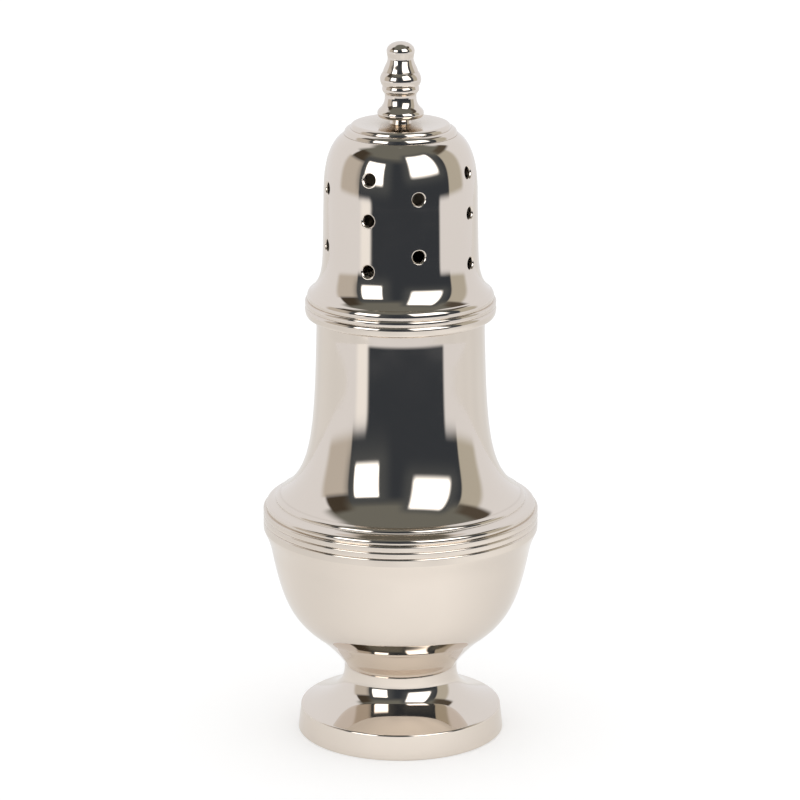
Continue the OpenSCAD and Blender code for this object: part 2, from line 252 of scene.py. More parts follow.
class CasterCrown(PropertyGroup):
    """Sizes of the crown plate."""
    bead_w: length("Bead width", "Width of the lower bead", 1.55)
    bead_h: length("Bead height", "Height of the lower bead", 1.6)
    step_w: length("Step width", "Width of the upper bead", 1.2)
    step_h: length("Step height", "Height of the upper bead", 1.1)


class CasterFinial(PropertyGroup):
    """Sizes of the finial and of what holds it."""
    bead_r: length("Bead radius", "Radius of the widest bead", 5.13)
    bead_h: length("Bead height", "Height of the widest bead", 3.45)
    gap_r: length("Gap radius", "Radius of the groove between the beads", 4.7)
    small_r: length("Small bead radius", "Radius at the top of the small bead", 4.4)
    small_h: length("Small bead", "Height of the small bead over the waist", 2.1)
    small_swell: length("Small bead swell", "Swell of the small bead", 0.4)
    waist_r: length("Waist radius", "Radius of the waist", 3.95)
    waist_h: length("Waist height", "Height of the waist", 3.85)
    flange_h: length("Flange height", "Height of the flange", 2)
    flange_swell: length("Flange swell", "Swell of the flange", 0.44)
    flange_lean: length("Flange lean", "How far the flange leans out on its way down", 0.12)
    seat_h: length("Seat height", "Height of the flange over the crown", 1.7)
    neck_r: length("Neck radius", "Radius of the neck under the flange", 2.5)
    neck_h: length("Neck height", "Height of the neck under the flange", 0.7)
    seat_r: length("Seat radius", "Radius of the neck where it stands on the crown", 2.8)
    pear_r: length("Pear radius", "Radius at the foot of the pear", 4.35)
    pear_h: length("Pear height", "Height of the pear", 3.05)
    throat_r: length("Throat radius", "Radius of the throat under the button", 3.25)
    throat_h: length("Throat height", "Height of the throat", 2.15)
    button_r: length("Button radius", "Radius of the button", 3.5)
    button_h: length("Button height", "Height of the button's dome", 2.3)
    stud_r: length("Stud radius", "Radius of the stud", 2)
    stud_gap: length("Stud gap", "Radial clearance of the stud in its holes", 0.1)
    thread_gap: length("Thread gap", "Radial clearance of the stud in the nut", 0.05)
    nut_face: share("Nut face", "Radius of the nut's end faces as a share of that of its flats", 0.96)
    button: bend("Button", "Sweep under the button", (-90, 0.35, -85, 0.3))
    pear: bend("Pear", "Sweep of the pear", (-82, 0.3, -86, 0.26))
    upper_waist: bend("Upper waist", "Sweep into the waist", (-110, 0.3, -90, 0.4))
    lower_waist: bend("Lower waist", "Sweep out of the waist", (-90, 0.55, -42, 0.2))


class CasterFinish(PropertyGroup):
    """Colours and finish of the metals."""
    wear: length("Wear", "Length over which buffing has rounded each corner", 0.14)
    plate: tint("Plate", "Polished plate", "#E3D9CE")
    plate_thin: tint("Worn plate", "Plate where buffing has thinned it", "#DED4C9")
    # Brownish film in the grooves: partly tarnish, partly painted shade where the grooves fall dark
    tarnish_and_shade: tint("Tarnish", "Film that stays in the grooves", "#8C7A66")
    inside: tint("Inside", "Plate inside, left as spun", "#CFC4B4")
    brass: tint("Brass", "Bare turned brass", "#C9A868")
    brass_dull: tint("Dull brass", "Bare brass where it has dulled", "#A9854A")
    gloss: share("Gloss", "Roughness of the buffed plate", 0.03)
    haze: share("Haze", "Roughness where wiping has left a haze", 0.055)


class CasterStage(PropertyGroup):
    """Camera, floor and studio."""
    eye: FloatVectorProperty(name="Eye", description="Place of the camera", subtype="TRANSLATION",
                             unit="LENGTH", default=(-0.00015, -1.0, 0.3736), precision=5)
    tilt: FloatProperty(name="Tilt", description="Angle of the camera below the horizon",
                        default=0.2784, subtype="ANGLE")
    lens: FloatProperty(name="Lens", description="Focal length on a 36 mm sensor, in millimetres",
                        default=184.14)
    floor_w: length("Floor width", "Width of the paper floor", 900)
    floor_front: length("Floor front", "How far the paper reaches in front of the caster", 400)
    floor_back: length("Floor back", "How far the paper reaches behind the caster", 1200)
    paper: tint("Paper", "Matt white paper", "#E7E7E7")


class CasterSettings(PropertyGroup):
    """All sizes, colours and stage settings."""
    foot: PointerProperty(type=CasterFoot)
    bowl: PointerProperty(type=CasterBowl)
    girdle: PointerProperty(type=CasterGirdle)
    neck: PointerProperty(type=CasterNeck)
    cap: PointerProperty(type=CasterCap)
    collar: PointerProperty(type=CasterCollar)
    crown: PointerProperty(type=CasterCrown)
    finial: PointerProperty(type=CasterFinial)
    finish: PointerProperty(type=CasterFinish)
    stage: PointerProperty(type=CasterStage)


# Outlines: arrays of radius and height, down the outside and up the inside

def aim(degrees):
    """Unit vector at an angle from the outward direction, anticlockwise."""
    return np.array([np.cos(np.radians(degrees)), np.sin(np.radians(degrees))])


def sweep(a, b, headings, steps=CURVE_STEPS):
    """Cubic from a to b; its two handles lie along the headings, each a share of the chord long."""
    a, b = np.array(a), np.array(b)
    chord = np.linalg.norm(b - a)
    c = a + headings[1] * chord * aim(headings[0])
    d = b - headings[3] * chord * aim(headings[2])
    t = np.linspace(0, 1, steps)[:, None]
    u = 1 - t
    return u ** 3 * a + 3 * u * u * t * c + 3 * u * t * t * d + t ** 3 * b


def reed(a, b, swell, flat=2):
    """Bulge from a to b: the chord plus 1 - |1 - 2 t|^flat times the swell along its outward normal."""
    a, b = np.array(a), np.array(b)
    run = b - a
    outward = np.array([-run[1], run[0]]) / np.linalg.norm(run)
    t = np.linspace(0, 1, REED_STEPS)[:, None]
    return a + t * run + (1 - np.abs(1 - 2 * t) ** flat) * swell * outward


def chain(*paths):
    """Paths end to end, without the points that repeat the one before."""
    path = np.concatenate([np.array(p, float) for p in paths])
    moved = np.linalg.norm(np.diff(path, axis=0), axis=1) > SAME_POINT
    return path[np.concatenate([[True], moved])]


def inset(path):
    """A path down the outside, moved inwards along its normals by the sheet's thickness."""
    run = np.gradient(path, axis=0)
    outward = np.stack([-run[:, 1], run[:, 0]], 1) / np.linalg.norm(run, axis=1)[:, None]
    return path - WALL * outward


def marked(path, inside):
    """A path with a third column that is 0 outside and 1 inside."""
    return np.column_stack([path, np.full(len(path), float(inside))])


def shell(outside, inside):
    """Loop down the outside and up the inside."""
    return np.concatenate([marked(outside, 0), marked(inside, 1)])


def block(r_in, r_out, z_low, z_high):
    """Loop round a rectangular section, seen from outside."""
    return shell([(r_out, z_high), (r_out, z_low)], [(r_in, z_low), (r_in, z_high)])


def worn(path, closed, wear, row_step=ROW_STEP):
    """Round every corner as buffing does, and keep the rows that the shape needs.

    The path is walked in even fine steps and a running mean with triangular weights is taken over the
    wear length. An open path starts and ends on the axis, where it goes on as its mirror image. A row is
    then kept for each row_step of travel or TURN_STEP of turning, whichever comes first. Returns the rows
    and the fine path.
    """
    if closed:
        path = np.concatenate([path, path[:1]])
    travel = np.concatenate([[0], np.cumsum(np.linalg.norm(np.diff(path[:, :2], axis=0), axis=1))])
    at = np.linspace(0, travel[-1], int(travel[-1] / FINE_STEP), endpoint=not closed)
    fine = np.stack([np.interp(at, travel, column) for column in path.T], 1)
    half = max(1, int(wear / FINE_STEP / 4))
    if closed:
        padded = np.concatenate([fine[-2 * half:], fine, fine[:2 * half]])
    else:
        mirror = np.array([-1, 1, 1])
        padded = np.concatenate([fine[2 * half:0:-1] * mirror, fine,
                                 fine[-2:-2 * half - 2:-1] * mirror])
    weights = np.convolve(np.ones(2 * half + 1), np.ones(2 * half + 1)) / (2 * half + 1) ** 2
    fine = np.stack([np.convolve(column, weights, "valid") for column in padded.T], 1)
    run = np.gradient(fine[:, :2], axis=0)
    turning = np.abs(np.gradient(np.unwrap(np.arctan2(run[:, 1], run[:, 0]))))
    spread = np.ones(2 * half + 1) / (2 * half + 1)
    need = np.convolve(FINE_STEP / row_step + turning / TURN_STEP, spread, "same")
    tally = np.cumsum(need)
    marks = np.linspace(tally[0], tally[-1], int(np.ceil(tally[-1])) + 1, endpoint=not closed)
    index = np.interp(marks, tally, np.arange(len(tally)))
    rows = np.stack([np.interp(index, np.arange(len(fine)), column) for column in fine.T], 1)
    if not closed:
        rows[[0, -1], 0] = 0
    return rows, fine


# Meshes

def recess(radius, height, grooves):
    """How deep a point lies in a groove: a bell curve of its distance to the nearest groove's floor."""
    grooves = np.array(grooves)
    away = np.hypot(radius[..., None] - grooves[:, 0], height[..., None] - grooves[:, 1]).min(-1)
    return np.exp(-(away / GROOVE_REACH) ** 2)


def surface(name, points, faces, inside, grooves):
    """A smooth mesh object from points and faces, with the inside and recess attributes of points."""
    mesh = bpy.data.meshes.new(name)
    mesh.from_pydata(points.tolist(), [], faces)
    mesh.shade_smooth()
    depth = recess(np.hypot(points[:, 0], points[:, 1]), points[:, 2], grooves)
    for key, values in (("inside", inside), ("recess", depth)):
        mesh.attributes.new(key, "FLOAT", "POINT").data.foreach_set("value", values.astype(np.float32))
    return bpy.data.objects.new(name, mesh)


def rings(rows, turns):
    """Points of a turned surface: each row's radius carried round the axis, from the front to +X."""
    angle = np.linspace(0, 2 * np.pi, turns, endpoint=False)
    r = rows[:, 0, None]
    z = np.broadcast_to(rows[:, 1, None], (len(rows), turns))
    return np.stack([r * np.sin(angle), -r * np.cos(angle), z], -1)


def strip(upper, lower):
    """Corner numbers of the quads between rings of points and the rings below them."""
    return np.stack([upper, lower, np.roll(lower, -1, -1), np.roll(upper, -1, -1)], -1)


def quads(rows, turns):
    """Corner numbers of the quads between each row's ring and the next, by row, turn and corner."""
    number = rows[:, None] * turns + np.arange(turns)
    return strip(number[:-1], number[1:])


def turned(name, path, grooves, closed=True):
    """A turned piece: its worn outline carried round the axis, shut in itself or by points on the axis."""
    rows, _ = worn(path, closed, bpy.context.scene.caster.finish.wear)
    if closed:
        points = rings(rows, TURNS).reshape(-1, 3)
        order = np.append(np.arange(len(rows)), 0)
        faces = quads(order, TURNS).reshape(-1, 4).tolist()
        return surface(name, points, faces, np.repeat(rows[:, 2], TURNS), grooves)
    body = rows[1:-1]
    poles = np.array([(0, 0, rows[0, 1]), (0, 0, rows[-1, 1])])
    points = np.concatenate([rings(body, TURNS).reshape(-1, 3), poles])
    inside = np.concatenate([np.repeat(body[:, 2], TURNS), rows[[0, -1], 2]])
    first = np.arange(TURNS)
    last = first + (len(body) - 1) * TURNS
    pole = np.full(TURNS, len(body) * TURNS)
    caps = np.concatenate([np.stack([pole, first, np.roll(first, -1)], 1),
                           np.stack([last, pole + 1, np.roll(last, -1)], 1)])
    faces = quads(np.arange(len(body)), TURNS).reshape(-1, 4).tolist() + caps.tolist()
    return surface(name, points, faces, inside, grooves)


def place(piece, node, slot):
    """Put a piece where its solid is, on the same body and in the same slot, with the slot's metal."""
    low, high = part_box(node)
    corners = np.array(piece.bound_box)
    off = max(np.abs(corners.min(0) - low).max(), np.abs(corners.max(0) - high).max())
    if off > OFF_SOLID:
        raise RuntimeError(f"{piece.name} is {off / MM:.2f} mm off the solid {node}")
    bpy.context.scene.collection.objects.link(piece)
    piece.data.materials.append(metal(slot))
    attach(piece, frame["nodes"][node]["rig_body"])
    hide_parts(node)


# Materials

def add(tree, kind, inputs=(), **settings):
    """Add a node with its settings.

    inputs maps a socket's name or number to a value, to a socket that is linked to it, or to a node, whose
    first output in use is linked.
    """
    node = tree.nodes.new(kind)
    for key, value in settings.items():
        setattr(node, key, value)
    for key, value in dict(inputs).items():
        if isinstance(value, Node):
            value = next(socket for socket in value.outputs if socket.enabled)
        if isinstance(value, NodeSocket):
            tree.links.new(value, node.inputs[key])
        else:
            node.inputs[key].default_value = value
    return node


def material_tree(name):
    """A new material and its empty node tree."""
    material = bpy.data.materials.new(name)
    material.use_nodes = True
    tree = material.node_tree
    tree.nodes.clear()
    return material, tree


def polished_plate(tree, where, finish):
    """Nickel or silver plate on spun brass, buffed to a mirror.

    It gives the eye a warm mirror with hardly any haze, slow waves from the spinning, a faint wiped haze
    and a brownish film in the grooves that is partly tarnish and partly painted shade. Inside, where no
    buff reaches, the plate is duller.
    """
    wave_mm, wave_deep_mm, patch_mm = 14, 0.008, 22
    haze_mm, haze_from, haze_to = 7, 0.35, 0.7
    groove_shade_share, groove_dull, inside_dull = 0.12, 0.08, 0.32
    inside = add(tree, "ShaderNodeAttribute", attribute_name="inside").outputs["Fac"]
    groove = add(tree, "ShaderNodeAttribute", attribute_name="recess").outputs["Fac"]
    patch = add(tree, "ShaderNodeTexNoise", {"Vector": where, "Scale": 1 / (patch_mm * MM), "Detail": 2})
    plate = add(tree, "ShaderNodeMix", {0: patch, 6: finish.plate, 7: finish.plate_thin},
                data_type="RGBA")
    # Painted shade in the grooves, partly tarnish: near each groove's floor the plate colour is mixed
    # towards brown
    groove_shade = add(tree, "ShaderNodeMath", {0: groove, 1: groove_shade_share}, operation="MULTIPLY")
    plate_with_groove_shade = add(tree, "ShaderNodeMix", {0: groove_shade, 6: plate, 7: finish.tarnish_and_shade}, data_type="RGBA")
    colour = add(tree, "ShaderNodeMix", {0: inside, 6: plate_with_groove_shade, 7: finish.inside}, data_type="RGBA")
    smear = add(tree, "ShaderNodeTexNoise", {"Vector": where, "Scale": 1 / (haze_mm * MM), "Detail": 4})
    gloss = add(tree, "ShaderNodeMapRange", {
        0: smear, 1: haze_from, 2: haze_to, 3: finish.gloss, 4: finish.haze})
    dull = add(tree, "ShaderNodeMath", {0: groove, 1: groove_dull, 2: gloss}, operation="MULTIPLY_ADD")
    rough = add(tree, "ShaderNodeMath", {0: inside, 1: inside_dull, 2: dull}, operation="MULTIPLY_ADD")
    wave = add(tree, "ShaderNodeTexNoise", {"Vector": where, "Scale": 1 / (wave_mm * MM), "Detail": 0})
    bump = add(tree, "ShaderNodeBump", {"Height": wave, "Strength": 1, "Distance": wave_deep_mm * MM})
    return colour, rough, bump


def satin_plate(tree, where, finish):
    """Plate left as drawn, rubbed up and down by the mouth: a soft sheen with upright scratches."""
    scratch_mm, scratch_long_mm, scratch_deep_mm, scratch_show = 0.25, 9, 0.01, 0.3
    least_rough, most_rough = 0.18, 0.34
    across, along = 1 / (scratch_mm * MM), 1 / (scratch_long_mm * MM)
    drawn = add(tree, "ShaderNodeMapping", {"Vector": where, "Scale": (across, across, along)})
    scratch = add(tree, "ShaderNodeTexNoise", {"Vector": drawn, "Scale": 1, "Detail": 2})
    colour = add(tree, "ShaderNodeMix", {
        0: scratch, 6: finish.inside, 7: finish.plate_thin}, data_type="RGBA")
    rough = add(tree, "ShaderNodeMapRange", {
        0: scratch, 1: NOISE[0], 2: NOISE[1], 3: least_rough, 4: most_rough})
    bump = add(tree, "ShaderNodeBump", {
        "Height": scratch, "Strength": scratch_show, "Distance": scratch_deep_mm * MM})
    return colour, rough, bump


def bare_brass(tree, where, finish):
    """Turned brass without plate: yellow, with the lathe tool's rings and brown dulled patches.

    Real tool rings are too fine to show, so they are drawn as coarse as ring_mm.
    """
    ring_mm, ring_deep_mm, ring_show, patch_mm = 1.885, 0.01, 0.4, 3
    least_rough, most_rough = 0.22, 0.45
    patch = add(tree, "ShaderNodeTexNoise", {"Vector": where, "Scale": 1 / (patch_mm * MM), "Detail": 5})
    colour = add(tree, "ShaderNodeMix", {0: patch, 6: finish.brass, 7: finish.brass_dull},
                 data_type="RGBA")
    rough = add(tree, "ShaderNodeMapRange", {
        0: patch, 1: NOISE[0], 2: NOISE[1], 3: least_rough, 4: most_rough})
    wave_scale = 2 * np.pi / (ring_mm * MM) / WAVE_RADIANS
    tool = add(tree, "ShaderNodeTexWave", {"Vector": where, "Scale": wave_scale, "Distortion": 0},
               wave_type="RINGS", rings_direction="Z")
    bump = add(tree, "ShaderNodeBump", {
        "Height": tool, "Strength": ring_show, "Distance": ring_deep_mm * MM})
    return colour, rough, bump


# Each slot: the name of its material, and what works out its surface
FINISHES = {
    "polished_plate": ("buffed_plate_on_spun_brass", polished_plate),
    "satin_plate": ("drawn_plate_rubbed", satin_plate),
    "bare_brass": ("turned_bare_brass", bare_brass),
}


def metal(slot):
    """The metal of a slot, made once: its surface's colour, roughness and bump on one metallic shader."""
    name, surface_of = FINISHES[slot]
    if name in bpy.data.materials:
        return bpy.data.materials[name]
    material, tree = material_tree(name)
    where = add(tree, "ShaderNodeTexCoord").outputs["Object"]
    colour, rough, normal = surface_of(tree, where, bpy.context.scene.caster.finish)
    shader = add(tree, "ShaderNodeBsdfPrincipled", {
        "Base Color": colour, "Metallic": 1, "Roughness": rough, "Normal": normal})
    add(tree, "ShaderNodeOutputMaterial", {"Surface": shader})
    return material


def white_paper():
    """Matt studio paper: it scatters evenly, with a faint tooth, and shows white to camera and metal.

    About a quarter of its white is its own glow, seen by camera, mirror and glass rays, so the rest keeps
    shadows. To mirror rays the glow is uneven and fades away from a lit middle, as lamplight on a table
    does.
    """
    stage = bpy.context.scene.caster.stage
    tooth_mm, tooth_dark, pool_mm, lit_mm = 0.8, 0.99, 130, 350
    glow, glow_far, glow_least, glow_most = 0.28, 0.2, 0.6, 1.3
    lit_middle = (60 * MM, -120 * MM, 0)
    material, tree = material_tree("white_paper")
    where = add(tree, "ShaderNodeTexCoord").outputs["Object"]
    tooth = add(tree, "ShaderNodeTexNoise", {"Vector": where, "Scale": 1 / (tooth_mm * MM), "Detail": 2})
    shade = add(tree, "ShaderNodeMapRange", {0: tooth, 1: 0, 2: 1, 3: tooth_dark, 4: 1})
    paper = add(tree, "ShaderNodeMix", {0: 1, 6: stage.paper, 7: shade}, data_type="RGBA",
                blend_type="MULTIPLY")
    matt = add(tree, "ShaderNodeBsdfDiffuse", {"Color": paper})
    away = add(tree, "ShaderNodeVectorMath", {0: where, 1: lit_middle}, operation="DISTANCE")
    fade = add(tree, "ShaderNodeMapRange", {0: away, 1: 0, 2: lit_mm * MM, 3: 1, 4: glow_far},
               interpolation_type="SMOOTHSTEP")
    cloud = add(tree, "ShaderNodeTexNoise", {"Vector": where, "Scale": 1 / (pool_mm * MM), "Detail": 0})
    uneven = add(tree, "ShaderNodeMapRange", {
        0: cloud, 1: NOISE[0], 2: NOISE[1], 3: glow_least, 4: glow_most})
    lit = add(tree, "ShaderNodeMath", {0: fade, 1: uneven}, operation="MULTIPLY")
    ray = add(tree, "ShaderNodeLightPath").outputs
    pool = add(tree, "ShaderNodeMath", {0: ray["Is Glossy Ray"], 1: lit}, operation="MULTIPLY")
    plain = add(tree, "ShaderNodeMath", {0: ray["Is Camera Ray"], 1: ray["Is Transmission Ray"]},
                operation="MAXIMUM")
    seen = add(tree, "ShaderNodeMath", {0: plain, 1: pool}, operation="MAXIMUM")
    strength = add(tree, "ShaderNodeMath", {0: seen, 1: glow}, operation="MULTIPLY")
    light = add(tree, "ShaderNodeEmission", {"Color": WHITE, "Strength": strength})
    both = add(tree, "ShaderNodeAddShader", {0: matt, 1: light})
    add(tree, "ShaderNodeOutputMaterial", {"Surface": both})
    return material


# Studio: what the mirror sees

class Screen(NamedTuple):
    """A panel of the studio, by azimuth from the front and by elevation, in degrees from and to.

    Its edges are soft across and up. Its lean is the azimuth that it gains with each degree of elevation.
    """
    azimuth: tuple
    elevation: tuple
    soft: tuple
    colour: str
    lean: float = 0
    strength: float = 1


STUDIO_WALLS = "#F3F4F8"
STUDIO = {
    "left screen": Screen((-101, -60), (-7.5, 29), (10, 4), "#CDC7BF"),
    "right screen": Screen((70, 106), (-7.5, 46), (10, 4), "#C5C1B5"),
    "high ceiling": Screen((-181, 181), (63, 91), (4, 10), "#787973"),
    "front ceiling": Screen((-105, 122), (45, 91), (20, 6), "#787973"),
    "left corner": Screen((-97, -60), (28, 52), (5, 8), "#4A4238"),
    "right corner": Screen((77, 126), (41, 54), (5, 6), "#5A5248"),
    "open front": Screen((-65, 77), (-8, 48), (3, 5), "#3B4047"),
    "front below": Screen((-46, 60), (-14, 20), (5, 2), "#3B4047"),
    "softbox spill": Screen((-70, 82), (43, 70), (20, 24), "#787973"),
    "left gap": Screen((-61, -45), (-24, -9), (8, 4), "#FFFFFF", strength=1.1),
    "left glow": Screen((-66, -16), (-4, 40), (18, 14), "#55595C"),
    "right glow": Screen((4, 70), (6, 58), (18, 16), "#55595C", lean=-0.12),
    "left softbox": Screen((-57, -27), (3, 33), (4, 5), "#FFFFFF", strength=3),
    "right softbox": Screen((14, 59), (13, 52), (7, 9), "#FFFFFF", lean=-0.12, strength=3),
}


def studio_world():
    """A world that is white to the camera and to the matt floor, and a studio to mirror rays.

    Each panel's weight is a soft step of how far a direction lies inside its azimuth range, times the
    same for its elevation range, and the panels are laid over each other in order.
    """
    world = bpy.data.worlds.new("studio")
    world.use_nodes = True
    tree = world.node_tree
    tree.nodes.clear()
    way = add(tree, "ShaderNodeSeparateXYZ", {0: add(tree, "ShaderNodeTexCoord").outputs["Generated"]})
    front = add(tree, "ShaderNodeMath", {0: way.outputs["Y"], 1: -1}, operation="MULTIPLY")
    turn = add(tree, "ShaderNodeMath", {0: way.outputs["X"], 1: front}, operation="ARCTAN2")
    rise = add(tree, "ShaderNodeMath", {0: way.outputs["Z"]}, operation="ARCSINE")
    turn = add(tree, "ShaderNodeMath", {0: turn}, operation="DEGREES")
    rise = add(tree, "ShaderNodeMath", {0: rise}, operation="DEGREES")
    seen = linear(STUDIO_WALLS)
    for screen in STUDIO.values():
        middle = sum(screen.elevation) / 2
        leant = add(tree, "ShaderNodeMath", {0: rise, 1: -screen.lean, 2: screen.lean * middle},
                    operation="MULTIPLY_ADD")
        across = add(tree, "ShaderNodeMath", {0: turn, 1: leant}, operation="ADD")
        weights = []
        ranges = (screen.azimuth, screen.elevation)
        for value, (start, end), soft in zip((across, rise), ranges, screen.soft):
            away = add(tree, "ShaderNodeMath", {0: value, 1: (start + end) / 2}, operation="SUBTRACT")
            away = add(tree, "ShaderNodeMath", {0: away}, operation="ABSOLUTE")
            half = (end - start) / 2
            weights.append(add(tree, "ShaderNodeMapRange", {
                0: away, 1: half + soft / 2, 2: half - soft / 2, 3: 0, 4: 1},
                interpolation_type="SMOOTHSTEP"))
        weight = add(tree, "ShaderNodeMath", {0: weights[0], 1: weights[1]}, operation="MULTIPLY")
        lit = tuple(screen.strength * c for c in linear(screen.colour)[:3]) + (1.0,)
        seen = add(tree, "ShaderNodeMix", {0: weight, 6: seen, 7: lit}, data_type="RGBA")
    mirror = add(tree, "ShaderNodeBackground", {"Color": seen, "Strength": 1})
    plain = add(tree, "ShaderNodeBackground", {"Color": WHITE, "Strength": 1})
    ray = add(tree, "ShaderNodeLightPath").outputs
    mixed = add(tree, "ShaderNodeMixShader", {0: ray["Is Glossy Ray"], 1: plain, 2: mirror})
    add(tree, "ShaderNodeOutputWorld", {"Surface": mixed})
    return world


# Outlines of the pieces

def foot_outline(shape):
    """Stem, dished sweep, rounded edge and upright rim; inside, the same sheet's other face."""
    stem_low = (STEM_R, SEAM_Z - shape.straight)
    edge_top = (RIM_R - shape.edge, shape.rim_h + shape.edge / 2)
    edge_low = (RIM_R, shape.rim_h - shape.edge)
    dish = sweep(stem_low, edge_top, shape.dish)
    under = inset(dish)
    under = under[under[:, 0] < RIM_BORE_R - WALL]
    outside = chain([(STEM_R, SEAM_Z)], dish, reed(edge_top, edge_low, shape.edge / 4),
                    [(FOOT_R, shape.bevel), (FOOT_R - shape.bevel, 0)])
    inside = chain([(RIM_BORE_R, 0), (RIM_BORE_R, edge_low[1] - WALL)], under[::-1],
                   [(STEM_BORE_R, SEAM_Z)])
    return shell(outside, inside)


def bowl_outline(shape, reed_depth):
    """Inside from the floor up to the rim, then band, soft step, belly and trumpet down to the seam."""
    groove_r = GIRDLE_R - reed_depth
    lap_r = groove_r - WALL
    band_low = (GIRDLE_R, RIM_Z - shape.band_h)
    belly_top = (GIRDLE_R - shape.step_in, band_low[1] - shape.step_h)
    trumpet_top = (shape.trumpet_r, SEAM_Z + shape.trumpet_h)
    floor_z = SEAM_Z + shape.floor_t
    belly = chain(sweep(belly_top, trumpet_top, shape.belly),
                  sweep(trumpet_top, (STEM_R, SEAM_Z), shape.trumpet))
    under = inset(belly)
    under = under[under[:, 1] > floor_z]
    inside = chain([(0, floor_z), (under[-1, 0], floor_z)], under[::-1],
                   [(lap_r, GIRDLE_LOW_Z - WALL / 2), (lap_r, RIM_Z)])
    edge_low = (GIRDLE_R, RIM_Z - shape.band_edge)
    outside = chain(reed((groove_r, RIM_Z), edge_low, reed_depth / 4),
                    sweep(band_low, belly_top, shape.step), belly, [(0, SEAM_Z)])
    return np.concatenate([marked(inside, 1), marked(outside, 0)])


def girdle_outline(shape, lip_back):
    """Two reeds, with tongues inside that lap the bowl and the shoulder."""
    groove_r = GIRDLE_R - shape.reed_depth
    lap_r = groove_r - WALL
    lip_lap_r = lap_r - lip_back
    half_z = (RIM_Z + GIRDLE_Z) / 2
    outside = chain(reed((groove_r, GIRDLE_Z), (groove_r, half_z), shape.reed_depth, shape.flat),
                    reed((groove_r, half_z), (groove_r, RIM_Z), shape.reed_depth, shape.flat))
    inside = [(lap_r, RIM_Z), (lap_r, GIRDLE_LOW_Z), (lip_lap_r - WALL, GIRDLE_LOW_Z),
              (lip_lap_r - WALL, GIRDLE_TOP_Z), (lip_lap_r, GIRDLE_TOP_Z), (lip_lap_r, GIRDLE_Z)]
    return shell(outside, inside)


def neck_outline(shape, reed_depth):
    """Mouth, straight neck, hollow sweep, fine reed and rounded lip; inside, the bore and the sheet."""
    lip_low = np.array([GIRDLE_R - reed_depth - shape.lip_back, GIRDLE_Z])
    lip_lap_r = lip_low[0] - WALL
    mouth_r = SLEEVE_R + shape.push_fit
    neck_low = (mouth_r + WALL, MOUTH_Z - shape.straight)
    lip_top = np.array([GIRDLE_R - shape.lip_w, GIRDLE_Z + shape.lip_h])
    shoulder_low = lip_top + [-shape.fine_w, shape.fine_h]
    shoulder = sweep(neck_low, shoulder_low, shape.shoulder, SHOULDER_STEPS)
    bore_low_z = SLEEVE_LOW_Z - WALL
    under = inset(shoulder)
    under = under[under[:, 1] < bore_low_z - WALL]
    down = lip_low - shoulder_low
    lip_under = lip_top - WALL * np.array([-down[1], down[0]]) / np.linalg.norm(down)
    outside = chain([(mouth_r + WALL, MOUTH_Z)], shoulder, sweep(shoulder_low, lip_top, shape.fine),
                    sweep(lip_top, lip_low, shape.lip))
    inside = chain([(lip_lap_r, GIRDLE_Z), (lip_lap_r, GIRDLE_TOP_Z), lip_under], under[::-1],
                   [(mouth_r, bore_low_z), (mouth_r, MOUTH_Z)])
    return shell(outside, inside)


def neck_radius(caster):
    """Outer radius of the neck, round the sleeve and its clearance."""
    return SLEEVE_R + caster.neck.push_fit + WALL


def dome_outline(shape, collar_groove_r, hole_r):
    """Land under the crown, dome, wall, flare and lip; inside, the sheet up to the flat underside."""
    dome_top = (CROWN_R + shape.land_w, LAND_Z)
    wall_top = (shape.radius, LAND_Z - shape.dome_h)
    wall_low = (shape.radius + shape.lean, COLLAR_TOP_Z + shape.flare_h)
    lip_low = np.array([collar_groove_r - shape.lip_back, COLLAR_TOP_Z])
    lip_top = lip_low + [-shape.lip_w, shape.lip_h]
    wall = chain(sweep(dome_top, wall_top, shape.dome), sweep(wall_low, lip_top, shape.flare))
    under = inset(wall)
    under = under[under[:, 1] < UNDER_LAND_Z]
    outside = chain([(hole_r, LAND_Z)], wall, sweep(lip_top, lip_low, shape.lip))
    inside = chain([lip_low - [shape.lip_w + WALL, 0]], under[::-1],
                   [(under[0, 0], UNDER_LAND_Z), (hole_r, UNDER_LAND_Z)])
    return shell(outside, inside)


def collar_outline(shape, neck_r):
    """Two reeds; inside, the bore round the neck and the shoulder on the mouth."""
    groove_r = neck_r + shape.proud - shape.reed_depth
    groove = (groove_r, COLLAR_TOP_Z - shape.upper_h)
    bore_r = neck_r + shape.gap
    outside = chain(reed((groove_r, COLLAR_TOP_Z), groove, shape.reed_depth, shape.flat),
                    reed(groove, (groove_r - shape.edge_w, COLLAR_LOW_Z), shape.lower_swell, shape.flat))
    inside = [(bore_r, COLLAR_LOW_Z), (bore_r, MOUTH_Z), (SLEEVE_R, MOUTH_Z), (SLEEVE_R, COLLAR_TOP_Z)]
    return shell(outside, inside), [(groove_r, COLLAR_TOP_Z), groove]


def crown_outline(shape, hole_r):
    """Flat top, upper bead and lower bead, with a hole for the stud."""
    bead_low = np.array([CROWN_R, LAND_Z])
    bead_top = bead_low + [-shape.bead_w, shape.bead_h]
    step_top = bead_top + [-shape.step_w, shape.step_h]
    outside = chain(reed(step_top, bead_top, shape.step_h / 3),
                    reed(bead_top, bead_low, shape.bead_h / 3))
    return shell(outside, [(hole_r, LAND_Z), (hole_r, CROWN_Z)]), [bead_low, bead_top]


